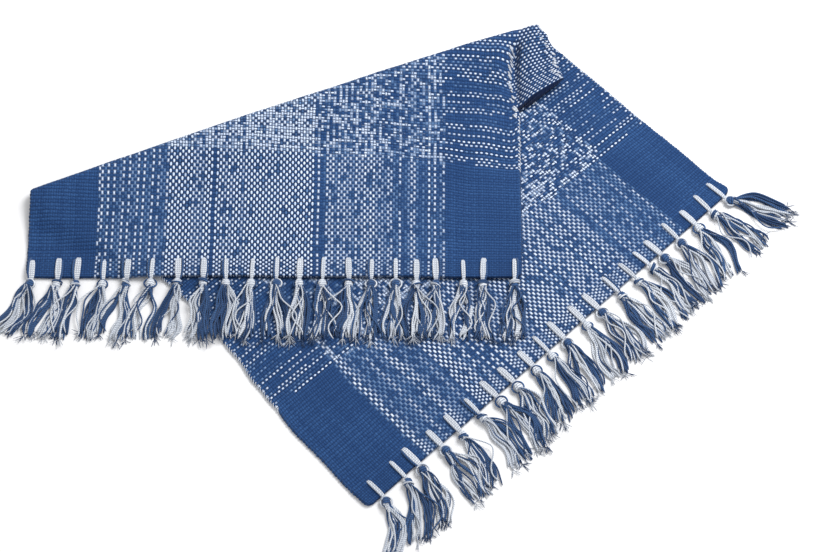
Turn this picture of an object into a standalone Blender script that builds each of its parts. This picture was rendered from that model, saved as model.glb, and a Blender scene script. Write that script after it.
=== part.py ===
"""A cotton dhurrie folded over once: one flat-woven sheet, with 21 knotted tassels at each end.

Metres, +Z up. The origin is in the middle of the whole object's box, on the surface it lies on.
The sheet is drawn by two numbers: u runs across it, from its left selvedge, and a row runs along
it, from the lower end over the fold to the upper end.
"""
import math
import random

import bmesh
import bpy
from mathutils import Vector

# The cloth as woven
WIDTH = 0.604
THICKNESS = 0.0045
HEM_DEPTH = 0.028
HEM_EXTRA = 0.0013
HEM_STEP = 0.004

# How the two layers lie: the left corner of each end, and the way its edge runs
LOWER_CORNER = Vector((-0.0497, -0.3088))
LOWER_TURN = math.radians(44.26)
LOWER_SPAN = 0.6095
UPPER_CORNER = Vector((-0.4691, -0.0040))
UPPER_TURN = math.radians(-0.3)
UPPER_SPAN = 0.5993
LAYER_GAP = 0.0010

# The fold: its outer line seen from above, and the size of its roll at the left and right ends
FOLD_POINT = Vector((-0.469, 0.1163))
FOLD_TURN = math.atan(0.3954)
FOLD_BOW = 0.004
ROLL_LEFT = 0.0065
ROLL_RIGHT = 0.0090
ROLL_SLOPE = 0.075

# Where the upper layer runs off the lower one and sinks to the surface
DROP_START = 0.008
DROP_RUN = 0.028

# The lower layer's left selvedge is drawn in: distance from its end, and how far
DRAW_IN = (
    (0.000, -0.004),
    (0.034, -0.004),
    (0.086, 0.000),
    (0.130, 0.001),
    (0.174, 0.008),
    (0.208, 0.012),
    (0.254, 0.020),
    (0.320, 0.030),
    (0.420, 0.030),
    (0.560, 0.000),
)
DRAW_IN_REACH = 0.35
DRAW_IN_FADE = 1.2

# The flap where the upper layer's right selvedge swings out: distance from its end, and how far
FLAP_SWING = (
    (0.240, 0.000),
    (0.250, 0.011),
    (0.270, 0.039),
    (0.284, 0.0556),
    (0.310, 0.049),
    (0.342, 0.040),
    (0.356, 0.027),
)
FLAP_WIDTH = 0.012
FLAP_RAISE = 0.005
FLAP_SLOPE = 0.012
FLAP_FRONT = 0.236

# The soft trough between the flap and the rest of the upper layer
TROUGH_X = 0.131
TROUGH_BACK = 0.330
TROUGH_DEPTH = 0.007
TROUGH_HALF = 0.010
TROUGH_END = 0.022

# The upper layer's slight unevenness: its height, its wave lengths and where it begins
RIPPLE = 0.0010
RIPPLE_ACROSS = 0.110
RIPPLE_ALONG = 0.095
RIPPLE_START = 0.050

# How finely the sheet is divided
COLUMNS = 24
FLAP_COLUMNS = 4
LOWER_ROWS = 9
ROLL_ROWS = 8
UPPER_FRACTIONS = (1.0, 0.965, 0.93, 0.89, 0.85, 0.81, 0.775, 0.745, 0.715, 0.69, 0.62, 0.52, 0.42,
                   0.32, 0.22)

# The tassels: where each knot is along its end, as a share of the width
LOWER_KNOTS = (0.029, 0.087, 0.125, 0.184, 0.231, 0.284, 0.335, 0.381, 0.433, 0.477, 0.520, 0.575,
               0.617, 0.672, 0.720, 0.761, 0.795, 0.845, 0.895, 0.939, 0.983)
UPPER_KNOTS = (0.012, 0.065, 0.103, 0.157, 0.204, 0.254, 0.308, 0.359, 0.405, 0.456, 0.506, 0.552,
               0.599, 0.652, 0.697, 0.746, 0.788, 0.827, 0.883, 0.921, 0.985)
# The way the yarns point, in degrees, for a share of the width
LOWER_LEAN = ((0.03, -76.0), (0.09, -78.0), (0.16, -62.0), (0.30, -58.0), (0.88, -56.0),
              (0.94, -40.0), (0.985, -18.0))
UPPER_LEAN = ((0.01, -112.0), (0.10, -104.0), (0.30, -97.0), (0.60, -93.0), (1.00, -89.0))
TASSEL_LENGTH = 0.079
KNOT_OFFSET = 0.0063
KNOT_RADIUS = 0.0047
LOOP_LENGTH = 0.024
LOOP_HEIGHT = 0.0020
LOOP_SAMPLE = 0.020
STRANDS = 5
STRAND_WIDTH = 0.0025
STRAND_HEIGHT = 0.0026
STRAND_SEGMENTS = 3
STRAND_TIP = 0.6
STRAND_SWAY = 0.0016
SHORTEST_STRAND = 0.84
ROOT_SHARE = 0.36
FAN = math.radians(54.0)
FAN_ROOT = 0.8
FAN_CURVE = 0.8
LOOP_HALF_ANGLE = 0.42
KNOT_LEVELS = (1.0, 1.12, 0.86)
WIDEST_TIP = 0.012
CLEARANCE = 0.0003


def smooth(value):
    """0 below 0, 1 above 1, and an even curve between."""
    t = min(max(value, 0.0), 1.0)
    return t * t * (3.0 - 2.0 * t)


def read_table(rows, place):
    """The second column of a table at a place in its first, with soft steps between the rows."""
    if place <= rows[0][0]:
        return rows[0][1]
    for (start, low), (end, high) in zip(rows, rows[1:]):
        if place <= end:
            return low + (high - low) * smooth((place - start) / (end - start))
    return rows[-1][1]


def heading(angle):
    return Vector((math.cos(angle), math.sin(angle)))


LOWER_ACROSS = heading(LOWER_TURN)
LOWER_ALONG = heading(LOWER_TURN + math.pi / 2)
UPPER_ACROSS = heading(UPPER_TURN)
UPPER_ALONG = heading(UPPER_TURN + math.pi / 2)
FOLD_OUT = heading(FOLD_TURN + math.pi / 2)
STACK = THICKNESS + LAYER_GAP


def roll_radius(u):
    return ROLL_LEFT + (ROLL_RIGHT - ROLL_LEFT) * smooth(u / WIDTH)


def run_to_roll(start, along, u):
    """How far a layer runs flat from its end before it turns into the roll."""
    back = roll_radius(u) + THICKNESS / 2 - FOLD_BOW * math.sin(math.pi * u / WIDTH)
    return ((FOLD_POINT - start).dot(FOLD_OUT) - back) / along.dot(FOLD_OUT)


def lower_point(u, run):
    """The lower layer, seen from above."""
    drawn = read_table(DRAW_IN, run) * max(0.0, 1.0 - u / DRAW_IN_REACH) ** DRAW_IN_FADE
    across = u * LOWER_SPAN / WIDTH + drawn
    return LOWER_CORNER + LOWER_ACROSS * across + LOWER_ALONG * run


def upper_point(u, run):
    """The upper layer, seen from above. Its right selvedge swings out into the flap."""
    share = smooth((u - (WIDTH - FLAP_WIDTH)) / FLAP_WIDTH)
    across = u * UPPER_SPAN / WIDTH + read_table(FLAP_SWING, run) * share
    return UPPER_CORNER + UPPER_ACROSS * across + UPPER_ALONG * run


def outside_lower(place):
    """How far a place lies beyond the lower layer's left selvedge; less than 0 is on the layer."""
    local = place - LOWER_CORNER
    run = local.dot(LOWER_ALONG)
    return read_table(DRAW_IN, run) - local.dot(LOWER_ACROSS)


def lift_over_lower(place):
    """1 where the lower layer holds things up, 0 where they lie on the surface."""
    return 1.0 - smooth((outside_lower(place) - DROP_START) / DROP_RUN)


def flap_relief(place):
    """The flap stands up a little, with a trough on its left side."""
    front = smooth((place.y - FLAP_FRONT) / FLAP_SLOPE)
    raised = FLAP_RAISE * front * smooth((place.x - TROUGH_X) / FLAP_SLOPE)
    window = smooth((place.y - FLAP_FRONT) / TROUGH_END) * smooth((TROUGH_BACK - place.y) / TROUGH_END)
    valley = TROUGH_DEPTH * window * smooth(1.0 - abs(place.x - TROUGH_X) / TROUGH_HALF)
    return raised, valley


def upper_lift(place):
    """The height of the upper layer's underside."""
    lying = STACK * lift_over_lower(place)
    share = min(max((place - UPPER_CORNER).dot(UPPER_ACROSS) / UPPER_SPAN, 0.0), 1.0)
    radius = roll_radius(share * WIDTH)
    from_roll = (FOLD_POINT - place).dot(FOLD_OUT) - radius - THICKNESS / 2
    rise = (2 * radius - STACK) * smooth(1.0 - from_roll / ROLL_SLOPE)
    raised, valley = flap_relief(place)
    wave = (math.sin(place.x * 2 * math.pi / RIPPLE_ACROSS + 1.0)
            * math.sin(place.y * 2 * math.pi / RIPPLE_ALONG + 0.5))
    rippled = RIPPLE * (0.5 + 0.5 * wave) * smooth((place.y - HEM_DEPTH) / RIPPLE_START)
    return max(lying + rise + raised + rippled - valley, lying)


def hem_thickness(run):
    return THICKNESS + HEM_EXTRA * smooth(1.0 - (run - HEM_DEPTH) / HEM_STEP)


def lower_layer(u, run):
    """A point on the middle of the cloth, and half its thickness towards the inside of the fold."""
    place = lower_point(u, run)
    half = hem_thickness(run) / 2
    return place.to_3d() + Vector((0, 0, half)), Vector((0, 0, half))


def upper_layer(u, run):
    place = upper_point(u, run)
    half = hem_thickness(run) / 2
    return place.to_3d() + Vector((0, 0, upper_lift(place) + half)), Vector((0, 0, -half))


def roll(u, share):
    """The turn between the layers, share 0 at the lower layer and 1 at the upper one."""
    first, inward = lower_layer(u, run_to_roll(lower_point(u, 0.0), LOWER_ALONG, u))
    run = run_to_roll(UPPER_CORNER + UPPER_ACROSS * u * UPPER_SPAN / WIDTH, UPPER_ALONG, u)
    last = upper_layer(u, run)[0]
    angle = math.pi * share
    out = FOLD_OUT.to_3d() * math.sin(angle)
    middle = first.lerp(last, (1.0 - math.cos(angle)) / 2) + out * roll_radius(u)
    half = inward.length
    return middle, Vector((0, 0, half * math.cos(angle))) - out * half


def sheet_rows():
    """One function of u for each row of points along the cloth."""
    rows = []

    def lower_row(share):
        return lambda u: lower_layer(u, HEM_DEPTH + HEM_STEP + share * (
            run_to_roll(lower_point(u, 0.0), LOWER_ALONG, u) - HEM_DEPTH - HEM_STEP))

    def upper_row(share):
        return lambda u: upper_layer(u, share * run_to_roll(
            UPPER_CORNER + UPPER_ACROSS * u * UPPER_SPAN / WIDTH, UPPER_ALONG, u))

    rows.append(lambda u: lower_layer(u, 0.0))
    rows.append(lambda u: lower_layer(u, HEM_DEPTH))
    for index in range(LOWER_ROWS):
        rows.append(lower_row(index / LOWER_ROWS))
    for index in range(ROLL_ROWS):
        rows.append(lambda u, share=index / ROLL_ROWS: roll(u, share))
    for share in UPPER_FRACTIONS:
        rows.append(upper_row(share))
    for run in (HEM_DEPTH + HEM_STEP, HEM_DEPTH, 0.0):
        rows.append(lambda u, run=run: upper_layer(u, run))
    return rows


def sheet_columns():
    """Even steps across the cloth, with finer ones in the narrow strip that becomes the flap."""
    plain = WIDTH - FLAP_WIDTH
    columns = [plain * index / COLUMNS for index in range(COLUMNS)]
    columns += [plain + FLAP_WIDTH * index / FLAP_COLUMNS for index in range(FLAP_COLUMNS + 1)]
    return columns


def add_object(name, mesh_builder, material):
    mesh = bpy.data.meshes.new(name)
    bmesh.ops.recalc_face_normals(mesh_builder, faces=mesh_builder.faces[:])
    mesh_builder.to_mesh(mesh)
    mesh_builder.free()
    mesh.materials.append(material)
    thing = bpy.data.objects.new(name, mesh)
    bpy.context.scene.collection.objects.link(thing)
    return thing


def add_material(name, colour, roughness):
    material = bpy.data.materials.new(name)
    material.use_nodes = True
    shader = material.node_tree.nodes["Principled BSDF"]
    shader.inputs["Base Color"].default_value = (*colour, 1.0)
    shader.inputs["Roughness"].default_value = roughness
    shader.inputs["Metallic"].default_value = 0.0
    return material


def build_cloth(material):
    """A flat grid, extruded into a slab, whose two faces are then laid along the folded cloth."""
    rows = sheet_rows()
    columns = sheet_columns()
    bm = bmesh.new()
    bmesh.ops.create_grid(bm, x_segments=len(columns) - 1, y_segments=len(rows) - 1, size=1.0)
    middle = {}
    for vert in bm.verts:
        column = round((vert.co.x + 1.0) / 2.0 * (len(columns) - 1))
        row = round((vert.co.y + 1.0) / 2.0 * (len(rows) - 1))
        middle[vert.index] = rows[row](columns[column])
        vert.co.z = vert.index
    bm.verts.ensure_lookup_table()
    bottom = bm.verts[:]
    made = bmesh.ops.extrude_face_region(bm, geom=bm.faces[:], use_keep_orig=True)
    top = [item for item in made["geom"] if isinstance(item, bmesh.types.BMVert)]
    for side, verts in ((-1.0, bottom), (1.0, top)):
        for vert in verts:
            centre, inward = middle[round(vert.co.z)]
            vert.co = centre + inward * side
    bmesh.ops.triangulate(bm, faces=[face for face in bm.faces if len(face.verts) > 3])
    return add_object("cloth", bm, material)


def spread_at(index, points, directions):
    """Half the width that a tassel's yarns may fill, so that it stays clear of its neighbours."""
    side = heading(directions[index] + math.pi / 2)
    room = WIDEST_TIP * 2
    for other in (index - 1, index + 1):
        if 0 <= other < len(points):
            ends = [points[i] + heading(directions[i]) * TASSEL_LENGTH for i in (index, other)]
            room = min(room, abs((ends[0] - ends[1]).dot(side)))
    return min(room / 2 - CLEARANCE, WIDEST_TIP)


def knot_ring(edge_out, direction):
    """Angles round a knot: two for each strand, then the sides, with the loop's two between."""
    angles = []
    step = 2 * FAN / STRANDS
    for index in range(STRANDS):
        middle = direction - FAN + step * (index + 0.5)
        angles += [middle - step * ROOT_SHARE, middle + step * ROOT_SHARE]
    inward = edge_out + math.pi
    while inward < angles[-1]:
        inward += 2 * math.pi
    loop = [inward - LOOP_HALF_ANGLE, inward + LOOP_HALF_ANGLE]
    before = (angles[-1] + loop[0]) / 2
    after = (loop[1] + angles[0] + 2 * math.pi) / 2
    return angles + [before] + loop + [after]


def raise_knot(bm, knot, angles, heights):
    """The knot as a closed drum, and the two bands of faces round it."""
    rings = []
    for height, scale in zip(heights, KNOT_LEVELS):
        ring = []
        for angle in angles:
            place = knot + heading(angle) * KNOT_RADIUS * scale
            ring.append(bm.verts.new((place.x, place.y, height)))
        rings.append(ring)
    bm.faces.new(rings[0][::-1])
    bm.faces.new(rings[-1])
    bands = []
    for low, high in zip(rings, rings[1:]):
        band = []
        for index in range(len(angles)):
            after = (index + 1) % len(angles)
            band.append(bm.faces.new((low[index], low[after], high[after], high[index])))
        bands.append(band)
    return bands


def build_tassel(name, knot, edge_out, direction, spread, floor, loop_base, chance, material):
    """A knot with its loop over the hem and its strands on what they lie on, as one closed mesh."""
    bm = bmesh.new()
    heights = (floor(knot), loop_base, loop_base + LOOP_HEIGHT)
    bands = raise_knot(bm, knot, knot_ring(edge_out, direction), heights)
    ahead = heading(direction)
    aside = heading(direction + math.pi / 2)
    sway = chance.uniform(-STRAND_SWAY, STRAND_SWAY)
    root = KNOT_RADIUS * FAN_ROOT
    for index in range(STRANDS):
        offset = (index + 0.5) / STRANDS * 2.0 - 1.0
        length = TASSEL_LENGTH * chance.uniform(SHORTEST_STRAND, 1.0)
        face = bands[0][2 * index]
        for segment in range(1, STRAND_SEGMENTS + 1):
            share = segment / STRAND_SEGMENTS
            run = KNOT_RADIUS + (length - KNOT_RADIUS) * share
            fan = root + (spread - STRAND_WIDTH / 2 - root) * share ** FAN_CURVE
            drift = offset * fan + sway * math.sin(share * 1.6 * math.pi)
            centre = knot + ahead * run + aside * drift
            width = STRAND_WIDTH * (STRAND_TIP if segment == STRAND_SEGMENTS else 1.0)
            face = extrude_strand(bm, face, centre, aside * width / 2, floor(centre))
    extrude_loop(bm, bands[1][2 * STRANDS + 1], heading(edge_out + math.pi) * LOOP_LENGTH)
    return add_object(name, bm, material)


def extrude_strand(bm, face, centre, half, height):
    """One more length of a strand, flat on what it lies on."""
    made = bmesh.ops.extrude_discrete_faces(bm, faces=[face])
    end = made["faces"][0]
    ordered = sorted(end.verts, key=lambda vert: vert.co.z)
    for verts, level in ((ordered[:2], height), (ordered[2:], height + STRAND_HEIGHT)):
        verts.sort(key=lambda vert: vert.co.xy.dot(half))
        for vert, side in zip(verts, (-1.0, 1.0)):
            place = centre + half * side
            vert.co = (place.x, place.y, level)
    return end


def extrude_loop(bm, face, reach):
    """The loop that lies over the hem."""
    made = bmesh.ops.extrude_discrete_faces(bm, faces=[face])
    for vert in made["faces"][0].verts:
        vert.co += reach.to_3d()


def build_tassels(prefix, knots, lean, corner, across, span, floor, loop_bases, material):
    edge_out = math.atan2(across.y, across.x) - math.pi / 2
    chance = random.Random(prefix)
    points = [corner + across * span * share + heading(edge_out) * KNOT_OFFSET for share in knots]
    directions = [math.radians(read_table(lean, share)) for share in knots]
    for index, knot in enumerate(points):
        build_tassel(f"{prefix}_tassel_{index + 1:02d}", knot, edge_out, directions[index],
                     spread_at(index, points, directions), floor, loop_bases(knots[index]),
                     chance, material)


def lower_floor(_place):
    return 0.0


def upper_floor(place):
    """The upper end's strands lie on the lower layer, and beside it on the surface."""
    return (THICKNESS + CLEARANCE) * lift_over_lower(place)


def lower_loop_base(_share):
    return hem_thickness(0.0) + CLEARANCE


def upper_loop_base(share):
    """Just over the highest part of the hem under a loop."""
    tops = []
    for side in (-LOOP_SAMPLE, -LOOP_SAMPLE / 2, 0.0, LOOP_SAMPLE / 2, LOOP_SAMPLE):
        place = upper_point(share * WIDTH + side, HEM_DEPTH / 2)
        tops.append(upper_lift(place) + hem_thickness(0.0))
    return max(tops) + CLEARANCE


def centre_on_origin(things):
    """Move every mesh so that the whole object's box is centred over the origin."""
    corners = [vert.co.copy() for thing in things for vert in thing.data.vertices]
    low = Vector(min(corner[axis] for corner in corners) for axis in range(3))
    high = Vector(max(corner[axis] for corner in corners) for axis in range(3))
    shift = -(low + high) / 2
    shift.z = 0.0
    for thing in things:
        for vert in thing.data.vertices:
            vert.co += shift


def main():
    for old in list(bpy.data.objects):
        bpy.data.objects.remove(old, do_unlink=True)
    indigo = add_material("indigo cotton cloth", (0.035, 0.11, 0.30), 0.9)
    natural = add_material("natural cotton yarn", (0.55, 0.55, 0.52), 0.9)
    build_cloth(indigo)
    build_tassels("lower", LOWER_KNOTS, LOWER_LEAN, LOWER_CORNER, LOWER_ACROSS, LOWER_SPAN,
                  lower_floor, lower_loop_base, natural)
    build_tassels("upper", UPPER_KNOTS, UPPER_LEAN, UPPER_CORNER, UPPER_ACROSS, UPPER_SPAN,
                  upper_floor, upper_loop_base, natural)
    centre_on_origin(list(bpy.data.objects))


main()
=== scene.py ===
# %% [markdown]
# A dhurrie is a flat-woven cotton rug: no pile, only warp yarns stretched on the loom and weft yarns
# beaten in between them. This one has indigo borders and a middle where white yarns are mixed into
# both sets. Both ends are hemmed and carry knotted tassels. It lies folded over once, on a slant, so
# that both tasselled ends show.
#
# This lesson dresses the rug's plain solid model. It builds the woven sheet, colours it yarn by yarn,
# gives it a plain weave in its material, and then ties the tassels out of single yarns. The first cell
# loads the solids, and makes two helpers that put new objects in the scene.

# %% Load the frame
import math
import random
from collections import namedtuple

import bmesh
import bpy
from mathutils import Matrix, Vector, noise


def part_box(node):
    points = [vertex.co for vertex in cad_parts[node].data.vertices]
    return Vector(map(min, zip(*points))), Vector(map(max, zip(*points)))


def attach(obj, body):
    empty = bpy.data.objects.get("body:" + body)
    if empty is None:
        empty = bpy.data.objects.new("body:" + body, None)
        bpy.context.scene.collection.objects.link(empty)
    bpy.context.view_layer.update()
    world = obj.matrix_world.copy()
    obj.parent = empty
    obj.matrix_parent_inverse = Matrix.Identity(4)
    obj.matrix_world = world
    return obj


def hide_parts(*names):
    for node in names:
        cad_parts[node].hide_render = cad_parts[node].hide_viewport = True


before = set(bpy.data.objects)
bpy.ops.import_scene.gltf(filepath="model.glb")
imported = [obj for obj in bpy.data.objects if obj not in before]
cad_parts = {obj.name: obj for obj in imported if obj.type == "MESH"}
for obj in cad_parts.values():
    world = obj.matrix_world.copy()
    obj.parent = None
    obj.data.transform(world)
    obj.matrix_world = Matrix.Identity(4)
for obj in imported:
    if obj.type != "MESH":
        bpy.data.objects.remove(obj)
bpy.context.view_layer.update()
print("solid model:", len(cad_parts), "nodes")


def add_object(name, data):
    """Puts a new object in the scene, at the origin and unturned."""
    made = bpy.data.objects.new(name, data)
    bpy.context.scene.collection.objects.link(made)
    return made


def mesh_object(name, bm, *finishes):
    """Turns a bmesh into an object with these finishes, and frees the bmesh."""
    mesh = bpy.data.meshes.new(name)
    bm.to_mesh(mesh)
    bm.free()
    for finish in finishes:
        mesh.materials.append(finish)
    return add_object(name, mesh)


# %% [markdown]
# Cloth can't be modelled by eye alone, because its two layers are one sheet and their sizes have to
# agree. So the lesson keeps a plan of the rug as it lies, in metres: where the left corner of each
# tasselled end is, and which way the end runs. These are the solid model's own sizes. The plan's
# origin isn't the frame's, so one shift, read from the solid cloth's box, takes the one to the other.

# %% The plan of the folded rug
WIDTH = 0.604
LENGTH = 0.735
THICKNESS = 0.0045
HEM_DEPTH = 0.028
HEM_EXTRA = 0.0013
HEM_STEP = 0.004
LAYER_GAP = 0.0010
STACK = THICKNESS + LAYER_GAP

LOWER_CORNER = Vector((-0.0497, -0.3088))
LOWER_TURN = math.radians(44.26)
LOWER_SPAN = 0.6095
UPPER_CORNER = Vector((-0.4691, -0.0040))
UPPER_TURN = math.radians(-0.3)
UPPER_SPAN = 0.5993
FOLD_POINT = Vector((-0.469, 0.1163))
FOLD_TURN = math.atan(0.3954)
FOLD_BOW = 0.004
ROLL_LEFT = 0.0065
ROLL_RIGHT = 0.0090
ROLL_SLOPE = 0.075


def heading(angle):
    return Vector((math.cos(angle), math.sin(angle)))


LOWER_ACROSS = heading(LOWER_TURN)
LOWER_ALONG = heading(LOWER_TURN + math.pi / 2)
UPPER_ACROSS = heading(UPPER_TURN)
UPPER_ALONG = heading(UPPER_TURN + math.pi / 2)
FOLD_OUT = heading(FOLD_TURN + math.pi / 2)

SELVEDGE_PULL = -0.004
cloth_low, cloth_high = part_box("cloth")
lowest = LOWER_CORNER + LOWER_ACROSS * SELVEDGE_PULL
rightmost = LOWER_CORNER + LOWER_ACROSS * LOWER_SPAN
SHIFT = Vector((cloth_high.x - rightmost.x, cloth_low.y - lowest.y, 0.0))
print("plan to frame:", [round(value, 4) for value in SHIFT])

# %% [markdown]
# The camera comes early, because every later step is judged through it. The picture looks down at the
# rug at 60 degrees through a long lens, so parallel edges stay almost parallel. A long lens far away
# needs a narrow field, and its focal length follows from how large the rug is in the picture.

# %% Camera
PITCH = math.radians(60.0)
CAMERA_DISTANCE = 3.629
FOCAL_PIXELS = 3000.0
PICTURE_WIDTH = 828.0
SENSOR = 36.0

camera_data = bpy.data.cameras.new("camera")
camera_data.sensor_width = SENSOR
camera_data.lens = FOCAL_PIXELS * SENSOR / PICTURE_WIDTH
camera_data.clip_end = 50.0
camera = add_object("camera", camera_data)
camera.location = SHIFT + Vector((0.0, -math.cos(PITCH), math.sin(PITCH))) * CAMERA_DISTANCE
camera.rotation_euler = (math.pi / 2 - PITCH, 0.0, 0.0)
bpy.context.scene.camera = camera
print("lens:", round(camera_data.lens, 1), "mm")

# %% [markdown]
# Cotton has no gloss, so the light only has to show its relief. One large soft lamp from the upper
# right gives the yarns a light side and the fold a soft shadow. A bright even sky fills the rest,
# and a pale floor catches the shadow. The view transform is the plain one, which keeps the indigo as
# blue as it is mixed.

# %% Light and floor
KEY_SIZE = 1.2
KEY_POWER = 52.0
KEY_PLACE = Vector((1.0, 0.9, 1.9))
SKY_STRENGTH = 0.72
FLOOR_HALF = 6.0
FLOOR_GREY = (0.86, 0.86, 0.87, 1.0)

world = bpy.data.worlds.new("studio")
world.use_nodes = True
sky = world.node_tree.nodes["Background"]
sky.inputs["Color"].default_value = (1.0, 1.0, 1.0, 1.0)
sky.inputs["Strength"].default_value = SKY_STRENGTH
bpy.context.scene.world = world
bpy.context.scene.view_settings.view_transform = "Standard"

key_data = bpy.data.lights.new("key", "AREA")
key_data.energy = KEY_POWER
key_data.size = KEY_SIZE
key = add_object("key", key_data)
key.location = KEY_PLACE
key.rotation_euler = (-KEY_PLACE).to_track_quat("-Z", "Y").to_euler()

floor_finish = bpy.data.materials.new("pale floor")
floor_finish.use_nodes = True
floor_shader = floor_finish.node_tree.nodes["Principled BSDF"]
floor_shader.inputs["Base Color"].default_value = FLOOR_GREY
floor_shader.inputs["Roughness"].default_value = 0.9
floor_builder = bmesh.new()
bmesh.ops.create_grid(floor_builder, x_segments=1, y_segments=1, size=FLOOR_HALF)
floor = mesh_object("floor", floor_builder, floor_finish)

# %% [markdown]
# A few small helpers serve the whole plan. A soft step goes from 0 to 1 with no corner in it. A table
# reader joins a few chosen rows with such steps, which suits edges that wander. Both are plain
# functions, so the sheet can be drawn at any fineness. The last helper takes a place on the plan, and
# a height, to the frame.

# %% Soft steps and tables


def clamp(value):
    return min(max(value, 0.0), 1.0)


def smooth(value):
    t = clamp(value)
    return t * t * (3.0 - 2.0 * t)


def read_table(rows, place):
    if place <= rows[0][0]:
        return rows[0][1]
    for (start, low), (end, high) in zip(rows, rows[1:]):
        if place <= end:
            return low + (high - low) * smooth((place - start) / (end - start))
    return rows[-1][1]


def in_frame(place, height):
    return place.to_3d() + Vector((0, 0, height)) + SHIFT


# %% [markdown]
# The lower layer's left selvedge isn't straight: the weaver pulled some wefts tighter, so the edge is
# drawn in by up to 3 cm. The table gives how far, for a distance from the tasselled end, and the pull
# dies away across the cloth. At the other selvedge the hem, which is double, stands out as a small lip.

# %% The lower layer, seen from above
DRAW_IN = (
    (0.000, SELVEDGE_PULL),
    (0.034, SELVEDGE_PULL),
    (0.086, 0.000),
    (0.130, 0.001),
    (0.174, 0.008),
    (0.208, 0.012),
    (0.254, 0.020),
    (0.320, 0.030),
    (0.420, 0.030),
    (0.560, 0.000),
)
DRAW_IN_REACH = 0.35
DRAW_IN_FADE = 1.2
HEM_LIP = 0.0042
LIP_REACH = 0.060


def lower_point(u, run):
    drawn = read_table(DRAW_IN, run) * max(0.0, 1.0 - u / DRAW_IN_REACH) ** DRAW_IN_FADE
    lip = HEM_LIP * smooth(1.0 - run / HEM_DEPTH) * smooth((u - WIDTH + LIP_REACH) / LIP_REACH)
    across = u * LOWER_SPAN / WIDTH + drawn + lip
    return LOWER_CORNER + LOWER_ACROSS * across + LOWER_ALONG * run


# %% [markdown]
# Near the fold the upper layer's right selvedge swings out into a small flap, and the rows of weft
# rise with it. Just left of the flap the cloth dips into a trough, and the rows bend down towards it.
# Bending the rows themselves, and not only the surface, is what makes the weave follow the form.

# %% The upper layer, seen from above
FLAP_START = 0.242
FLAP_STEP = 0.0025
FLAP_SWING = (
    (FLAP_START, 0.000),
    (FLAP_START + FLAP_STEP, 0.0556),
    (0.280, 0.050),
    (0.310, 0.044),
    (0.335, 0.037),
    (0.352, 0.027),
)
FLAP_WIDTH = 0.012
FLAP_RISE = 0.70
FLAP_FADE = 0.110
TROUGH_X = 0.131
ROW_BEND = 0.007
ROW_BEND_START = 0.078
ROW_BEND_RUN = 0.12
ROW_BEND_RISE = 0.10


def upper_point(u, run):
    share = smooth((u - (WIDTH - FLAP_WIDTH)) / FLAP_WIDTH)
    swing = read_table(FLAP_SWING, run) * share
    place = UPPER_CORNER + UPPER_ACROSS * (u * UPPER_SPAN / WIDTH) + UPPER_ALONG * run
    past_start = smooth((run - FLAP_START) / FLAP_STEP)
    fade = max(0.0, 1.0 - (run - FLAP_START) / FLAP_FADE)
    bend = ROW_BEND * smooth((place.x - ROW_BEND_START) / (TROUGH_X - ROW_BEND_START))
    bend *= smooth((run - ROW_BEND_RUN) / ROW_BEND_RISE) * min(1.0, fade * 2.0)
    return place + Vector((swing, swing * FLAP_RISE * fade * past_start - bend * (1.0 - share)))


# %% [markdown]
# Now the heights. The upper layer lies one cloth above the lower one, sinks to the floor where it runs
# off the lower layer's edge, and climbs to the roll of the fold. The flap stands up a little and the
# trough goes down. The largest of these wins, so nothing sinks into the layer below.

# %% How high the upper layer lies
DROP_START = 0.008
DROP_RUN = 0.028
FLAP_RAISE = 0.0075
FLAP_SLOPE = 0.022
FLAP_FRONT = 0.228
TROUGH_BACK = 0.336
TROUGH_DEPTH = 0.010
TROUGH_HALF = 0.008
TROUGH_END = 0.022
TROUGH_BOW = 0.006
TROUGH_LENGTH = 0.115
RIDGE = 0.0045
RIDGE_LEFT = 0.019
RIDGE_HALF = 0.020
RIPPLE = 0.0010
RIPPLE_ACROSS = 0.110
RIPPLE_ALONG = 0.095
RIPPLE_START = 0.050


def outside_lower(place):
    local = place - LOWER_CORNER
    run = local.dot(LOWER_ALONG)
    return read_table(DRAW_IN, run) - local.dot(LOWER_ACROSS)


def lift_over_lower(place):
    return 1.0 - smooth((outside_lower(place) - DROP_START) / DROP_RUN)


def roll_radius(u):
    return ROLL_LEFT + (ROLL_RIGHT - ROLL_LEFT) * smooth(u / WIDTH)


def trough_x(y):
    share = clamp((y - FLAP_FRONT) / TROUGH_LENGTH)
    return TROUGH_X - TROUGH_BOW * math.sin(math.pi * share)


def flap_relief(place):
    beyond = place.x - trough_x(place.y)
    front = smooth((place.y - FLAP_FRONT) / TROUGH_END)
    window = front * smooth((TROUGH_BACK - place.y) / TROUGH_END)
    raised = FLAP_RAISE * front * smooth(beyond / FLAP_SLOPE)
    raised += RIDGE * window * smooth(1.0 - abs(beyond + RIDGE_LEFT) / RIDGE_HALF)
    valley = TROUGH_DEPTH * window * smooth(1.0 - abs(beyond) / TROUGH_HALF)
    return raised, valley


def upper_lift(place):
    lying = STACK * lift_over_lower(place)
    share = clamp((place - UPPER_CORNER).dot(UPPER_ACROSS) / UPPER_SPAN)
    radius = roll_radius(share * WIDTH)
    from_roll = (FOLD_POINT - place).dot(FOLD_OUT) - radius - THICKNESS / 2
    rise = (2 * radius - STACK) * smooth(1.0 - from_roll / ROLL_SLOPE)
    raised, valley = flap_relief(place)
    wave = (math.sin(place.x * 2 * math.pi / RIPPLE_ACROSS + 1.0)
            * math.sin(place.y * 2 * math.pi / RIPPLE_ALONG + 0.5))
    rippled = RIPPLE * (0.5 + 0.5 * wave) * smooth((place.y - HEM_DEPTH) / RIPPLE_START)
    return max(lying + rise + raised + rippled - valley, lying)


# %% [markdown]
# The cloth is a slab, so each point of it has a middle and half a thickness to either side. The hem is
# thicker, because the end is turned under. Along every edge the slab thins on a circle, which rounds
# the edge as a packed row of yarns is rounded.

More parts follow.
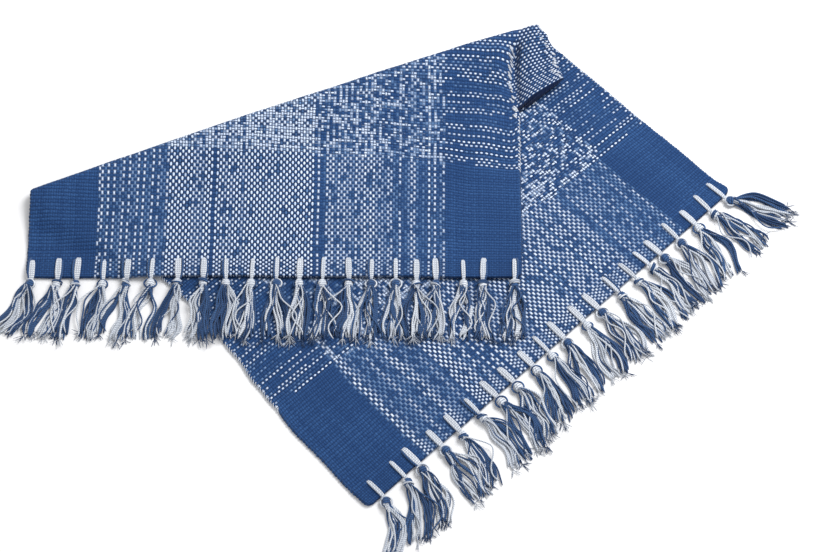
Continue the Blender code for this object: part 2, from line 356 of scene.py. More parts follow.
# %% Thickness of the cloth
EDGE_ROUND = 0.0022
EDGE_LEAST = 0.25


def edge_share(distance):
    inside = clamp(1.0 - distance / EDGE_ROUND)
    return EDGE_LEAST + (1.0 - EDGE_LEAST) * math.sqrt(1.0 - inside * inside)


def full_thickness(run):
    return THICKNESS + HEM_EXTRA * smooth(1.0 - (run - HEM_DEPTH) / HEM_STEP)


def half_thickness(u, run):
    return full_thickness(run) / 2 * edge_share(min(u, WIDTH - u, run))


# %% [markdown]
# One function lays any point of the flat sheet on the folded rug. It measures how far each layer runs
# flat at that place across the cloth, and what is left between them goes round the roll. The same
# sheet could be folded by a cloth simulation, but a simulation wouldn't stop at these exact edges.

# %% Lay a point of the sheet
CORNER_ROUND = 0.009
UNEVEN = 0.0010
UNEVEN_SCALE = 14.0
UNEVEN_FINE = 0.0005
UNEVEN_FINE_SCALE = 46.0
LOWER_SKEW = ((0.00, 0.012), (WIDTH, -0.010))
LOWER_SKEW_RISE = 0.16
LOWER_SKEW_END = 0.46
LOWER_SKEW_FALL = 0.12
UPPER_SKEW = (
    (0.00, -0.012),
    (0.26, -0.008),
    (0.42, -0.005),
    (0.50, 0.004),
    (0.55, 0.010),
    (WIDTH, 0.012),
)
UPPER_SKEW_START = 0.46
UPPER_SKEW_RISE = 0.10
UPPER_SKEW_FALL = 0.15
NOISE_SEED = 5

noise.seed_set(NOISE_SEED)


def run_to_roll(start, along, u):
    back = roll_radius(u) + THICKNESS / 2 - FOLD_BOW * math.sin(math.pi * u / WIDTH)
    return ((FOLD_POINT - start).dot(FOLD_OUT) - back) / along.dot(FOLD_OUT)


def wander(place, seed):
    """The slight unevenness of hand weaving, as a shift in the plane of the cloth."""
    shift = Vector((0.0, 0.0))
    for size, scale, salt in ((UNEVEN, UNEVEN_SCALE, 0.0), (UNEVEN_FINE, UNEVEN_FINE_SCALE, 20.0)):
        shift += noise.noise_vector(Vector((place.x * scale, place.y * scale, seed + salt))).xy * size
    return shift


def round_corner(u, run):
    """Moves a place near a corner inwards, as a square is drawn into a circle."""
    side = 1.0 - min(u, WIDTH - u) / CORNER_ROUND
    end = 1.0 - run / CORNER_ROUND
    if side <= 0.0 or end <= 0.0:
        return u, run
    inward = side * (1.0 - math.sqrt(1.0 - end * end / 2)) * CORNER_ROUND
    up = end * (1.0 - math.sqrt(1.0 - side * side / 2)) * CORNER_ROUND
    return (u + inward if u < WIDTH / 2 else u - inward), run + up


def lay_lower(u, run):
    place = lower_point(*round_corner(u, run))
    place += wander(place, 3.0)
    half = half_thickness(u, run)
    centre = full_thickness(run) / 2
    return place.to_3d() + Vector((0, 0, centre)), Vector((0, 0, half))


def lay_upper(u, run):
    place = upper_point(*round_corner(u, run))
    place += wander(place, 9.0)
    half = half_thickness(u, run)
    centre = full_thickness(run) / 2
    return place.to_3d() + Vector((0, 0, upper_lift(place) + centre)), Vector((0, 0, -half))


def lay_roll(u, share, lower_run, upper_run):
    first = lay_lower(u, lower_run)[0]
    last = lay_upper(u, upper_run)[0]
    angle = math.pi * share
    out = FOLD_OUT.to_3d() * math.sin(angle)
    middle = first.lerp(last, (1.0 - math.cos(angle)) / 2) + out * roll_radius(u)
    half = half_thickness(u, LENGTH / 2)
    return middle, Vector((0, 0, half * math.cos(angle))) - out * half


def skew(u, v):
    """How far the rows are pulled along the cloth, because they don't run quite parallel."""
    lower = read_table(LOWER_SKEW, u) * smooth(v / LOWER_SKEW_RISE)
    lower *= smooth((LOWER_SKEW_END - v) / LOWER_SKEW_FALL)
    upper = read_table(UPPER_SKEW, u) * smooth((v - UPPER_SKEW_START) / UPPER_SKEW_RISE)
    return lower + upper * min(1.0, (LENGTH - v) / UPPER_SKEW_FALL)


def lay(u, v):
    """The middle of the cloth and half its thickness, for a place on the flat sheet."""
    lower_run = run_to_roll(lower_point(u, 0.0), LOWER_ALONG, u)
    upper_run = run_to_roll(UPPER_CORNER + UPPER_ACROSS * u * UPPER_SPAN / WIDTH, UPPER_ALONG, u)
    around = math.pi * roll_radius(u)
    walked = v / LENGTH * (lower_run + around + upper_run) + skew(u, v)
    if walked <= lower_run:
        return lay_lower(u, walked)
    if walked <= lower_run + around:
        return lay_roll(u, (walked - lower_run) / around, lower_run, upper_run)
    return lay_upper(u, lower_run + around + upper_run - walked)


# %% [markdown]
# The weave is drawn by the material, but it needs to know where each yarn is. So the grid has one
# column for each warp yarn and one row for each weft yarn. The warps stand closer in the two borders,
# and a short table says which warp is where. The grid is finer only at the rounded edges, in the strip
# that opens into the flap, and where the rows go round the fold. Each point keeps its place on the
# flat sheet, whatever the fold does with it.

# %% The sheet's grid
WARPS = 176
WEFTS = 166
WARP_PLACES = ((0, 0.0), (28, 0.0863), (146, 0.5105), (WARPS, WIDTH))
BORDER_PITCH = 0.00312
WEFT_PITCH = LENGTH / WEFTS
RIM_STEPS = (0.0, 0.0005, 0.0013, 0.0024)
FLAP_COLUMNS = 24
ROLL_ROWS = (0.362, 0.640)


def read_straight(rows, value, known, wanted):
    """Reads a table of pairs by straight lines, from one column of it to the other."""
    for low, high in zip(rows, rows[1:]):
        if value <= high[known]:
            rise = (high[wanted] - low[wanted]) * (value - low[known])
            return low[wanted] + rise / (high[known] - low[known])
    return float(rows[-1][wanted])


def warp_number(u):
    return read_straight(WARP_PLACES, u, 1, 0)


def warp_place(number):
    return read_straight(WARP_PLACES, number, 0, 1)


def with_rims(total, inner):
    low = [step for step in RIM_STEPS if step < inner[0]]
    high = [total - step for step in reversed(low)]
    return low + inner + high


warp_edges = [warp_place(index) for index in range(1, WARPS)]
weft_edges = [WEFT_PITCH * index for index in range(1, WEFTS)]
flat_columns = [u for u in with_rims(WIDTH, warp_edges) if u < WIDTH - FLAP_WIDTH]
flat_columns += [WIDTH - FLAP_WIDTH + FLAP_WIDTH * index / FLAP_COLUMNS
                 for index in range(FLAP_COLUMNS + 1)]
flat_rows = with_rims(LENGTH, weft_edges)
flat_rows += [(a + b) / 2 for a, b in zip(flat_rows, flat_rows[1:]) if ROLL_ROWS[0] < a < ROLL_ROWS[1]]
flat_rows.sort()
print("sheet grid:", len(flat_columns), "by", len(flat_rows))

# %% [markdown]
# The grid starts as one flat operator grid. It is extruded once, which makes the slab's second face and
# its rim, and then every point is laid on the folded rug. Each point carries its flat place in two
# number layers, so both faces and the rim know their yarns.

# %% Make the sheet


def make_sheet():
    bm = bmesh.new()
    bmesh.ops.create_grid(bm, x_segments=len(flat_columns) - 1, y_segments=len(flat_rows) - 1,
                          size=1.0)
    across = bm.verts.layers.float.new("across")
    along = bm.verts.layers.float.new("along")
    for vert in bm.verts:
        vert[across] = flat_columns[round((vert.co.x + 1.0) / 2 * (len(flat_columns) - 1))]
        vert[along] = flat_rows[round((vert.co.y + 1.0) / 2 * (len(flat_rows) - 1))]
    first_face = bm.verts[:]
    made = bmesh.ops.extrude_face_region(bm, geom=bm.faces[:], use_keep_orig=True)
    second_face = [item for item in made["geom"] if isinstance(item, bmesh.types.BMVert)]
    for side, verts in ((-1.0, first_face), (1.0, second_face)):
        for vert in verts:
            middle, half = lay(vert[across], vert[along])
            vert.co = middle + half * side + SHIFT
    bmesh.ops.recalc_face_normals(bm, faces=bm.faces[:])
    for face in bm.faces:
        face.smooth = True
    return bm


sheet_builder = make_sheet()
print("sheet faces:", len(sheet_builder.faces))

# %% [markdown]
# The pattern belongs to the yarns, so it is written as a weaver writes it, as a threading. Each row of
# the table is a band across the cloth: where it ends, and the order of its yarns, with a digit for each
# from 0 for indigo to 9 for full white. Between the indigo borders, single and paired white warps stand
# apart at first, and further in they close up. Hardly a warp there is plain indigo, because the dye ran
# unevenly. The warp was dyed in lengths, so the half that lies below has an order of its own.

# %% Which warp yarns are white
LOWER_WARPS = (
    (0.0863, "0"),
    (0.1010, "1376"),
    (0.1190, "43433"),
    (0.1340, "3443"),
    (0.1480, "3435"),
    (0.1680, "654443"),
    (0.1840, "3432"),
    (0.2090, "6799865"),
    (0.2270, "36642"),
    (0.2450, "61561"),
    (0.2870, "5664"),
    (0.3010, "4353"),
    (0.3480, "7"),
    (0.3750, "6674637"),
    (0.4050, "5545"),
    (0.4150, "384"),
    (0.4370, "5464"),
    (0.4540, "4433"),
    (0.4900, "3434"),
    (0.5270, "3433"),
    (WIDTH, "0"),
)
UPPER_WARPS = (
    (0.0830, "0"),
    (0.0885, "6"),
    (0.1690, "3525336253"),
    (0.1960, "98"),
    (0.2120, "64"),
    (0.2225, "9"),
    (0.2262, "1"),
    (0.2370, "8"),
    (0.2410, "4"),
    (0.2650, "8589"),
    (0.3490, "9"),
    (0.3630, "1512"),
    (0.4000, "54"),
    (0.4300, "645"),
    (0.4450, "434"),
    (0.4490, "3"),
    (0.4565, "35"),
    (0.4675, "233"),
    (0.4745, "5"),
    (0.4855, "323"),
    (0.4965, "263"),
    (0.5105, "5234"),
    (WIDTH, "0"),
)


def thread(bands, places):
    """One strength for each yarn, from its digit: 0 is indigo and 1 is full white."""
    strengths = []
    band = 0
    step = 0
    for place in places:
        while place > bands[band][0]:
            band += 1
            step = 0
        order = bands[band][1]
        strengths.append(int(order[step % len(order)]) / 9)
        step += 1
    return strengths


def unequal(strengths, chance):
    return [min(strength * chance.uniform(0.82, 1.12), 1.0) for strength in strengths]


warp_chance = random.Random(41)
warp_middles = [warp_place(index + 0.5) for index in range(WARPS)]
lower_warps = unequal(thread(LOWER_WARPS, warp_middles), warp_chance)
upper_warps = unequal(thread(UPPER_WARPS, warp_middles), warp_chance)
print("white warps:", sum(value > 0 for value in lower_warps), sum(value > 0 for value in upper_warps))

# %% [markdown]
# The weft has its own order. Its white rows start 16 cm from each end, and they stop and start again
# within a row, because this yarn was dyed in lengths too. So each white row gets its own list of
# stretches. Between the borders nearly every row has short white lengths in it, and so has nearly
# every warp. They make a speckled mesh there, closer in some bands than in others.

# %% Which weft yarns are white, and where
WEFT_ORDER = (
    (0.1595, "0"),
    (0.1640, "9"),
    (0.1725, "63"),
    (0.1815, "8"),
    (0.2280, "26173"),
    (0.2900, "74165"),
    (0.4100, "37286"),
    (0.4250, "885"),
    (0.4480, "787"),
    (0.4650, "2314"),
    (0.5400, "71528"),
    (0.5540, "836"),
    (0.5640, "868"),
    (LENGTH, "0"),
)
MESH_START = 0.160
MESH_END = 0.562
MESH_WOBBLE = 0.007
LOWER_MESH = ((0.090, 0.00), (0.170, 0.40), (0.400, 0.70), (0.531, 1.00), (WIDTH, 0.00))
UPPER_MESH = ((0.090, 0.00), (0.170, 0.40), (0.360, 0.85), (0.440, 0.80), (0.512, 0.70),
              (WIDTH, 0.00))
MIDDLE_WEAKER = 0.75
STRETCH = (10, 60)
PAUSE = (1, 9)
MESH_STRETCH = (1, 3)
MESH_PAUSE = (1, 4)

weft_chance = random.Random(17)


def strength_at(bands, place):
    for end, strength in bands:
        if place <= end:
            return strength
    return 0.0


def stretches(strength, stretch, pause):
    """One yarn, crossing by crossing: white lengths with indigo lengths between them."""
    row = []
    white_left = weft_chance.randint(0, stretch[1])
    level = strength * weft_chance.uniform(0.4, 1.0)
    while len(row) < WARPS:
        row += [level] * white_left
        row += [0.0] * weft_chance.randint(*pause)
        white_left = weft_chance.randint(*stretch)
        level = strength * weft_chance.uniform(0.4, 1.1)
    return row[:WARPS]


def weave_row(index, strength):
    place = weft_middles[index]
    bold = stretches(strength, STRETCH, PAUSE)
    fine = stretches(1.0, MESH_STRETCH, MESH_PAUSE)
    bands = LOWER_MESH if place < LENGTH / 2 else UPPER_MESH
    row = []
    for column in range(WARPS):
        mesh = strength_at(bands, warp_middles[column])
        wobble = MESH_WOBBLE * math.sin(column * 0.31) * math.sin(column * 0.113)
        inside = mesh > 0.0 and MESH_START < place + wobble < MESH_END
        white = bold[column] * (MIDDLE_WEAKER if mesh > 0.0 else 1.0)
        row.append(min(max(white, mesh * fine[column] if inside else 0.0), 1.0))
    return row


weft_middles = [(index + 0.5) * WEFT_PITCH for index in range(WEFTS)]
weft_order = thread(WEFT_ORDER, weft_middles)
weft_white = [weave_row(index, strength) for index, strength in enumerate(weft_order)]
warp_mesh = [stretches(1.0, MESH_STRETCH, MESH_PAUSE) for _ in range(WARPS)]
print("rows with white:", sum(1 for row in weft_white if any(row)))

# %% [markdown]
# The orders are now written on the sheet's faces, one number for the warp and one for the weft, and
# the yarn count goes into the sheet's own UV map: one unit across is one warp yarn, and one unit along
# is one weft yarn. On the flap, the columns are wider than a yarn, so there the count follows the
# distance on the surface instead. In the hems the rows are beaten closer, so eight yarns share the
# room of five. In the mesh, the weaker warps lose their own white and get the mesh's short lengths
# instead. A third number marks painted shade, where the colour is darkened for what always lies in
# shade: the trough's far side, and the strip that closes the flap's lower edge, which is also painted
# without white.

# %% Write the yarns on the sheet
FLAP_WHITE = 0.78
FLAP_TIGHTER = 1.2
STRIP_START = WIDTH - FLAP_WIDTH
STRIP_RUN = 0.2
TORN_EDGE = 0.012
HEM_ROWS = 5
HEM_YARNS = 8
MESH_WARPS = 0.80
MESH_LEAST = 0.50
MESH_WARP_SHARE = 0.70
TROUGH_SHADE = 0.60
SHADE_FROM = -0.001
SHADE_HALF = 0.006


def yarn_count(v):
    rows = v / WEFT_PITCH
    extra = HEM_YARNS - HEM_ROWS
    if rows < HEM_ROWS:
        return rows * HEM_YARNS / HEM_ROWS
    if rows > WEFTS - HEM_ROWS:
        return WEFTS + 2 * extra - (WEFTS - rows) * HEM_YARNS / HEM_ROWS
    return rows + extra


def is_flap(place):
    right = place.x - SHIFT.x > trough_x(place.y - SHIFT.y)
    return right and place.y - SHIFT.y > FLAP_FRONT and place.z > THICKNESS * 1.6


# Painted shade on the trough's far side: how far its colour is darkened.
def shade_at(place):
    beyond = place.x - SHIFT.x - trough_x(place.y - SHIFT.y)
    window = smooth((place.y - SHIFT.y - FLAP_FRONT) / TROUGH_END)
    window *= smooth((TROUGH_BACK - place.y + SHIFT.y) / TROUGH_END)
    return TROUGH_SHADE * window * smooth(1.0 - abs(beyond - SHADE_FROM - SHADE_HALF) / SHADE_HALF)


def warp_white(column, row, u, v):
    """How white a warp is at one crossing."""
    above = v > LENGTH / 2
    strength = (upper_warps if above else lower_warps)[column]
    if not MESH_START < v < MESH_END:
        return strength
    own = strength * MESH_WARPS if strength > MESH_LEAST else 0.0
    mesh = strength_at(UPPER_MESH if above else LOWER_MESH, u)
    return max(own, mesh * MESH_WARP_SHARE * warp_mesh[column][row])


def count_across(u, x, above, flap):
    """How many warps lie left of a point. Where the flap opens, they are counted on the surface."""
    if not above or u <= STRIP_START:
        return warp_number(u)
    opened = x - upper_point(STRIP_START, STRIP_RUN).x - SHIFT.x
    return warp_number(STRIP_START) + opened * (FLAP_TIGHTER if flap else 1.0) / BORDER_PITCH


def write_yarns(bm):
    across = bm.verts.layers.float["across"]
    along = bm.verts.layers.float["along"]
    warp_light = bm.faces.layers.float.new("warp_light")
    weft_light = bm.faces.layers.float.new("weft_light")
    shade = bm.faces.layers.float.new("shade")
    yarns = bm.loops.layers.uv.new("yarns")
    for face in bm.faces:
        u = sum(vert[across] for vert in face.verts) / len(face.verts)
        v = sum(vert[along] for vert in face.verts) / len(face.verts)
        column = min(int(warp_number(u)), WARPS - 1)
        row = min(int(v / WEFT_PITCH), WEFTS - 1)
        above = v > LENGTH / 2
        centre = face.calc_center_median()
        flap = above and is_flap(centre)
        face[warp_light] = warp_white(column, row, u, v)
        face[weft_light] = weft_white[row][column]
        face[shade] = shade_at(centre) if above else 0.0
        if flap:
            face[warp_light] = 0.0
            face[weft_light] = FLAP_WHITE
        # Painted shade: the stretched strip under the flap's lower edge loses its white and is painted
        # dark.
        if max(edge.calc_length() for edge in face.edges) > TORN_EDGE:
            face[weft_light] = 0.0
            face[shade] = 1.0
        for loop in face.loops:
            vert = loop.vert
            count = count_across(vert[across], vert.co.x, above, flap)
            loop[yarns].uv = (count, yarn_count(vert[along]))


write_yarns(sheet_builder)
woven_cloth = mesh_object("woven_cloth", sheet_builder)
print("sheet triangles:", sum(len(face.vertices) - 2 for face in woven_cloth.data.polygons))

# %% [markdown]
# Materials here are built from arithmetic, and a small class keeps that readable. A `Value` stands for a
# number or a colour at every point of a surface, and plus, minus, times and divided by add Math nodes to
# its tree. The other helpers each add a node too, join or set its inputs, and hand back its output.

# %% Arithmetic with nodes


class Value:
    def __init__(self, tree, socket):
        self.tree = tree
        self.socket = socket

    def __add__(self, other):
        return maths("ADD", self, other)

    def __sub__(self, other):
        return maths("SUBTRACT", self, other)

    def __rsub__(self, other):
        return maths("SUBTRACT", other, self)

    def __mul__(self, other):
        return maths("MULTIPLY", self, other)

    def __truediv__(self, other):
        return maths("DIVIDE", self, other)

    def __abs__(self):
        return maths("ABSOLUTE", self)


def set_inputs(node, inputs):
    """Joins each value to its input, or sets a plain number or colour on the input itself."""
    for name, value in inputs.items():
        if isinstance(value, Value):
            value.tree.links.new(value.socket, node.inputs[name])
        else:
            node.inputs[name].default_value = value


def add_node(tree, kind, inputs, output=0, **settings):
    node = tree.nodes.new(kind)
    for name, setting in settings.items():
        setattr(node, name, setting)
    set_inputs(node, inputs)
    return Value(tree, node.outputs[output])


def tree_of(values):
    return next(value.tree for value in values if isinstance(value, Value))


def maths(operation, *values):
    return add_node(tree_of(values), "ShaderNodeMath", dict(enumerate(values)), operation=operation)


def soft_range(value, low, high, to_low=0.0, to_high=1.0):
    inputs = dict(enumerate((value, low, high, to_low, to_high)))
    return add_node(value.tree, "ShaderNodeMapRange", inputs, interpolation_type="SMOOTHSTEP")


def mix_colours(share, first, second):
    return add_node(share.tree, "ShaderNodeMix", {0: share, 6: first, 7: second}, 2, data_type="RGBA")


def attribute(tree, name, output="Fac"):
    return add_node(tree, "ShaderNodeAttribute", {}, output, attribute_name=name)


def split(vector):
    node = vector.tree.nodes.new("ShaderNodeSeparateXYZ")
    set_inputs(node, {0: vector})
    return [Value(vector.tree, output) for output in node.outputs]


def combine(first, second, third=0.0):
    tree = tree_of((first, second))
    return add_node(tree, "ShaderNodeCombineXYZ", {0: first, 1: second, 2: third})


def bump(height, depth, strength):
    inputs = {"Height": height, "Distance": depth, "Strength": strength}
    return add_node(height.tree, "ShaderNodeBump", inputs, "Normal")


def new_finish(name):
    finish = bpy.data.materials.new(name)
    finish.use_nodes = True
    return finish, finish.node_tree, finish.node_tree.nodes["Principled BSDF"]


# %% [markdown]
# In a plain weave, each yarn goes over one and under the next. Seen from above, that is a chequer of
# short rounded floats: warp floats standing along the rug, weft floats lying across it. The material
# works out both from the yarn count. A float is a low dome, highest in the middle of its cell and
# running out where it dives. Whichever dome is higher at a point is the yarn that shows, and where
# both are low there is a dark gap. The dome of a yarn that is only partly white is sunk, so its floats
# show smaller. The same height drives the bump.

# %% The weave's two domes
WARP_HALF = 0.44
WARP_REACH = 0.66
WEFT_HALF = 0.32
WEFT_REACH = 0.66
WEAK_WARP = 0.86
WEAK_WEFT = 0.74
LEAST_LIGHT = 0.01

Weave = namedtuple("Weave", "u v warp weft column row warp_row weft_column")


def centred(value):
    return maths("FRACT", value) - 0.5


def dome(narrow, half, long, reach):
    first = maths("POWER", abs(narrow) / half, 2.0)
    second = maths("POWER", abs(long) / reach, 2.0)
    return 1.0 - first - second


def lowered(height, light, weakness):
    missing = maths("GREATER_THAN", light, LEAST_LIGHT) * (1.0 - light)
    return height - missing * weakness


def weave(tree, warp_light, weft_light):
    """The two domes at a point, and the number pair of the float that each belongs to."""
    u, v, _ = split(add_node(tree, "ShaderNodeUVMap", {}, "UV", uv_map="yarns"))
    column = maths("FLOOR", u)
    row = maths("FLOOR", v)
    down = maths("WRAP", v - 0.5 - column, 1.0, -1.0)
    side = maths("WRAP", u - 1.5 - row, 1.0, -1.0)
    warp = lowered(dome(centred(u), WARP_HALF, down, WARP_REACH), warp_light, WEAK_WARP)
    weft = lowered(dome(centred(v), WEFT_HALF, side, WEFT_REACH), weft_light, WEAK_WEFT)
    warp_row = maths("ROUND", v - down - 0.5)
    weft_column = maths("ROUND", u - side - 0.5)
    return Weave(u, v, warp, weft, column, row, warp_row, weft_column)


# %% [markdown]
# Indigo cotton isn't one blue. Each yarn took the dye a little differently, and each yarn is thicker and
# thinner along its length. White yarns are cool and a little grey. So the two colours vary from yarn to
# yarn by a white noise on the yarn's number, along a yarn by a stretched noise, and over the rug by a
# slow one. Each weft row's blue is painted darker towards its edges, as painted shade between the ribs,
# and blue beside white floats is painted darker too, as painted shade between the yarns. A second white
# noise, on the float's number pair, fades some white floats. The weaker a white yarn is, the dimmer its
# floats are, and the more of them fade.

# %% Cloth colours
INDIGO = (0.0130, 0.045, 0.144, 1.0)
INDIGO_PALE = (0.038, 0.108, 0.280, 1.0)
# Painted shade: the darker indigo that blue floats beside white ones are mixed towards.
SHADED_INDIGO = (0.009, 0.032, 0.105, 1.0)
WHITE = (0.72, 0.81, 0.96, 1.0)
WHITE_GREY = (0.37, 0.49, 0.71, 1.0)
SKY = (0.22, 0.40, 0.70, 1.0)
# Painted shade colours for the gaps between yarns; GAP_DEEP also paints the faces marked as lying in
# shade.
GAP_BLUE = (0.010, 0.030, 0.090, 1.0)
GAP_DEEP = (0.004, 0.011, 0.040, 1.0)
YARN_PALER = 0.35
SLUB_PALER = 0.40
RIB_SHADE = 0.80
SHADE_BESIDE_WHITE = 0.38
FADE_MORE = 0.46
FADE_WIDTH = 0.12
FADE_LEAST = 0.18
LIGHT_FROM = 0.05
LIGHT_FULL = 0.62
FLOAT_SALTS = (0.5, 7.5)
YARN_SALTS = (3.5, 5.5)


def white_noise(first, second, salt):
    tree = tree_of((first, second))
    inputs = {"Vector": combine(first, second, salt)}
    return add_node(tree, "ShaderNodeTexWhiteNoise", inputs, "Value", noise_dimensions="3D")


def stretched_noise(u, v, across, along, detail):
    inputs = {"Vector": combine(u * across, v * along), "Scale": 1.0, "Detail": detail}
    return add_node(u.tree, "ShaderNodeTexNoise", inputs, "Fac")


def choose(first_share, first, second):
    return first_share * first + (1.0 - first_share) * second


def float_light(part, is_warp, yarn_light):
    """How white the float at a point shows."""
    warp_float = white_noise(part.column, part.warp_row, FLOAT_SALTS[0])
    weft_float = white_noise(part.weft_column, part.row, FLOAT_SALTS[1])
    fade_from = maths("POWER", 1.0 - yarn_light, 2.0) * FADE_MORE
    float_chance = choose(is_warp, warp_float, weft_float)
    shown = soft_range(float_chance, fade_from, fade_from + FADE_WIDTH, FADE_LEAST, 1.0)
    return soft_range(yarn_light, LIGHT_FROM, LIGHT_FULL) * shown


def yarn_colour(part, is_warp, light, near_white):
    """The colour of the yarn at a point, from indigo to white."""
    warp_yarn = white_noise(part.column, 0.0, YARN_SALTS[0])
    weft_yarn = white_noise(0.0, part.row, YARN_SALTS[1])
    slubs = stretched_noise(part.u, part.v, 1.6, 1.3, 2.0)
    slow = stretched_noise(part.u, part.v, 0.05, 0.04, 3.0)
    pale = choose(is_warp, warp_yarn, weft_yarn) * YARN_PALER
    pale = (pale + soft_range(slubs, 0.35, 0.70) * SLUB_PALER) * soft_range(slow, 0.30, 0.70, 0.6, 1.3)
    blue = mix_colours(pale, INDIGO, INDIGO_PALE)
    # Painted shade: each weft row's blue is darkened towards its edges, between the ribs.
    rib = soft_range(abs(centred(part.v)), 0.22, 0.50, 0.0, RIB_SHADE)
    blue = mix_colours(rib, blue, GAP_BLUE)
    # Painted shade: blue floats beside white ones are darkened, as shade between the yarns.
    blue = mix_colours(near_white * SHADE_BESIDE_WHITE, blue, SHADED_INDIGO)
    white = mix_colours(soft_range(slubs, 0.30, 0.75), WHITE, WHITE_GREY)
    white = mix_colours(soft_range(light, 0.35, 0.95), SKY, white)
    return mix_colours(light, blue, white)


# %% [markdown]
# Last come the gaps, which are painted shade. Between two indigo floats the gap is painted hardly darker
# than the yarn, but beside a white float its painted shade is deep, and the crease where warp and weft
# meet is painted dark too. Fine fibres roughen the bump a little.

# %% Cloth material
GAP_DEEPER = 0.50
FIBRE_SCALE = 7.0
FIBRE_RELIEF = 0.10
BUMP_DEPTH = 0.0011
BUMP_STRENGTH = 0.8


def closed_share(part, height, near_white):
    """1 on a yarn, and less in the gaps between yarns."""
    # Painted shade: the colour is darkened where the domes run low, and in the crease where warp and
    # weft meet.
    open_white = soft_range(height, 0.06, 0.46)
    open_blue = soft_range(height, -0.60, 0.30, 0.62, 1.0)
    meeting = soft_range(abs(part.warp - part.weft), 0.0, 0.35, 0.25, 1.0)
    return choose(near_white, open_white, open_blue) * choose(near_white, meeting, 1.0)


def make_cloth_finish():
    finish, tree, shader = new_finish("indigo and white weave")
    warp_light = attribute(tree, "warp_light")
    weft_light = attribute(tree, "weft_light")
    near_white = maths("MAXIMUM", warp_light, weft_light)
    part = weave(tree, warp_light, weft_light)
    height = maths("MAXIMUM", part.warp, part.weft)
    is_warp = maths("GREATER_THAN", part.warp, part.weft)
    light = float_light(part, is_warp, choose(is_warp, warp_light, weft_light))
    yarn = yarn_colour(part, is_warp, light, near_white)
    # Painted shade in the gaps between yarns, deeper beside white floats.
    gap = mix_colours(near_white * GAP_DEEPER, GAP_BLUE, GAP_DEEP)
    colour = mix_colours(closed_share(part, height, near_white), gap, yarn)
    # Painted shade: faces marked as lying in shade are darkened towards GAP_DEEP.
    colour = mix_colours(attribute(tree, "shade"), colour, GAP_DEEP)
    fibres = stretched_noise(part.u, part.v, FIBRE_SCALE, FIBRE_SCALE, 2.0)
    relief = maths("MAXIMUM", height, 0.0) + fibres * FIBRE_RELIEF
    set_inputs(shader, {
        "Base Color": colour,
        "Roughness": 0.92,
        "Specular IOR Level": 0.10,
        "Sheen Weight": 0.05,
        "Sheen Roughness": 0.5,
        "Normal": bump(relief, BUMP_DEPTH, BUMP_STRENGTH),
    })
    return finish


woven_cloth.data.materials.append(make_cloth_finish())
print("cloth material:", len(woven_cloth.data.materials[0].node_tree.nodes), "nodes")

# %% [markdown]
# A tassel is made of single yarns, and every yarn is the same thing: a thin tube along a wandering
# line. So one tube is made once, as a cone with equal ends cut into short lengths, and each yarn is a
# copy of it bent along its own line. A copy costs far less than a new extrusion for every step.

# %% One plain yarn to copy
YARN_SIDES = 5
YARN_STEPS = 16


def make_tube(sides, steps):
    bm = bmesh.new()
    bmesh.ops.create_cone(bm, cap_ends=True, segments=sides, radius1=1.0, radius2=1.0, depth=1.0)
    for index in range(1, steps):
        height = index / steps - 0.5
        bmesh.ops.bisect_plane(bm, geom=bm.verts[:] + bm.edges[:] + bm.faces[:],
                               plane_co=(0, 0, height), plane_no=(0, 0, 1))
    bmesh.ops.translate(bm, verts=bm.verts[:], vec=(0, 0, 0.5))
    mesh = bpy.data.meshes.new("plain_yarn")
    bm.to_mesh(mesh)
    bm.free()
    return mesh


plain_yarn = make_tube(YARN_SIDES, YARN_STEPS)
short_yarn = make_tube(6, 6)
band_yarn = make_tube(6, 24)
fibre = make_tube(3, 3)
print("plain yarn:", len(plain_yarn.vertices), "points")

# %% [markdown]
# Bending a copy needs a frame at each step: the way the line goes, and two directions across it. The
# ends are drawn in a little. Each point also keeps its angle round the yarn and its distance along it,
# which the yarn's material turns into the twist of two plies.

# %% Bend a yarn along a line
TIP_SHARE = 0.55
LOOK_AHEAD = 0.02
LEAST_ASIDE = 0.05


def new_yarns():
    """An empty bmesh with the two layers that every yarn writes."""
    bm = bmesh.new()
    bm.verts.layers.float_vector.new("twist")
    bm.verts.layers.float.new("tone")
    return bm


def ring_at(line, share):
    """The centre of a ring of points, and its two directions across the yarn."""
    before = line(max(share - LOOK_AHEAD, 0.0))
    ahead = (line(min(share + LOOK_AHEAD, 1.0)) - before).normalized()
    aside = ahead.cross(Vector((0, 0, 1)))
    if aside.length < LEAST_ASIDE:
        aside = ahead.cross(Vector((0, 1, 0)))
    aside.normalize()
    return line(share), aside, aside.cross(ahead).normalized()


def add_yarn(bm, template, line, radius, slot, shade):
    """Copies the plain yarn along line(share), which gives a point for a share from 0 to 1."""
    start = len(bm.verts)
    first_face = len(bm.faces)
    bm.from_mesh(template)
    bm.verts.ensure_lookup_table()
    bm.faces.ensure_lookup_table()
    twist = bm.verts.layers.float_vector["twist"]
    tone = bm.verts.layers.float["tone"]
    rings = {}
    length = (line(1.0) - line(0.0)).length
    for vert in bm.verts[start:]:
        share = round(vert.co.z, 5)
        if share not in rings:
            rings[share] = ring_at(line, share)
        centre, aside, up = rings[share]
        angle = math.atan2(vert.co.y, vert.co.x)
        width = radius * (TIP_SHARE if share in (0.0, 1.0) else 1.0)
        vert[twist] = (math.cos(angle), math.sin(angle), share * length)
        vert[tone] = shade
        vert.co = centre + (aside * math.cos(angle) + up * math.sin(angle)) * width
    for face in bm.faces[first_face:]:
        face.material_index = slot
        face.smooth = True


# %% [markdown]
# Two finishes serve all the yarns: natural cotton, which is a cool grey white, and indigo. Both show
# the twist of two plies as fine slanting grooves, which are bumped and painted darker as painted shade.
# The twist comes from the kept angle and distance: the groove's phase is the angle plus so many turns
# for each metre, and its sine is put together from the parts, which avoids a seam where the angle
# starts again.

# %% Yarn materials
TURNS = 2 * math.pi / 0.0050
SPECKLE_SCALE = 420.0
YARN_BUMP_DEPTH = 0.0004


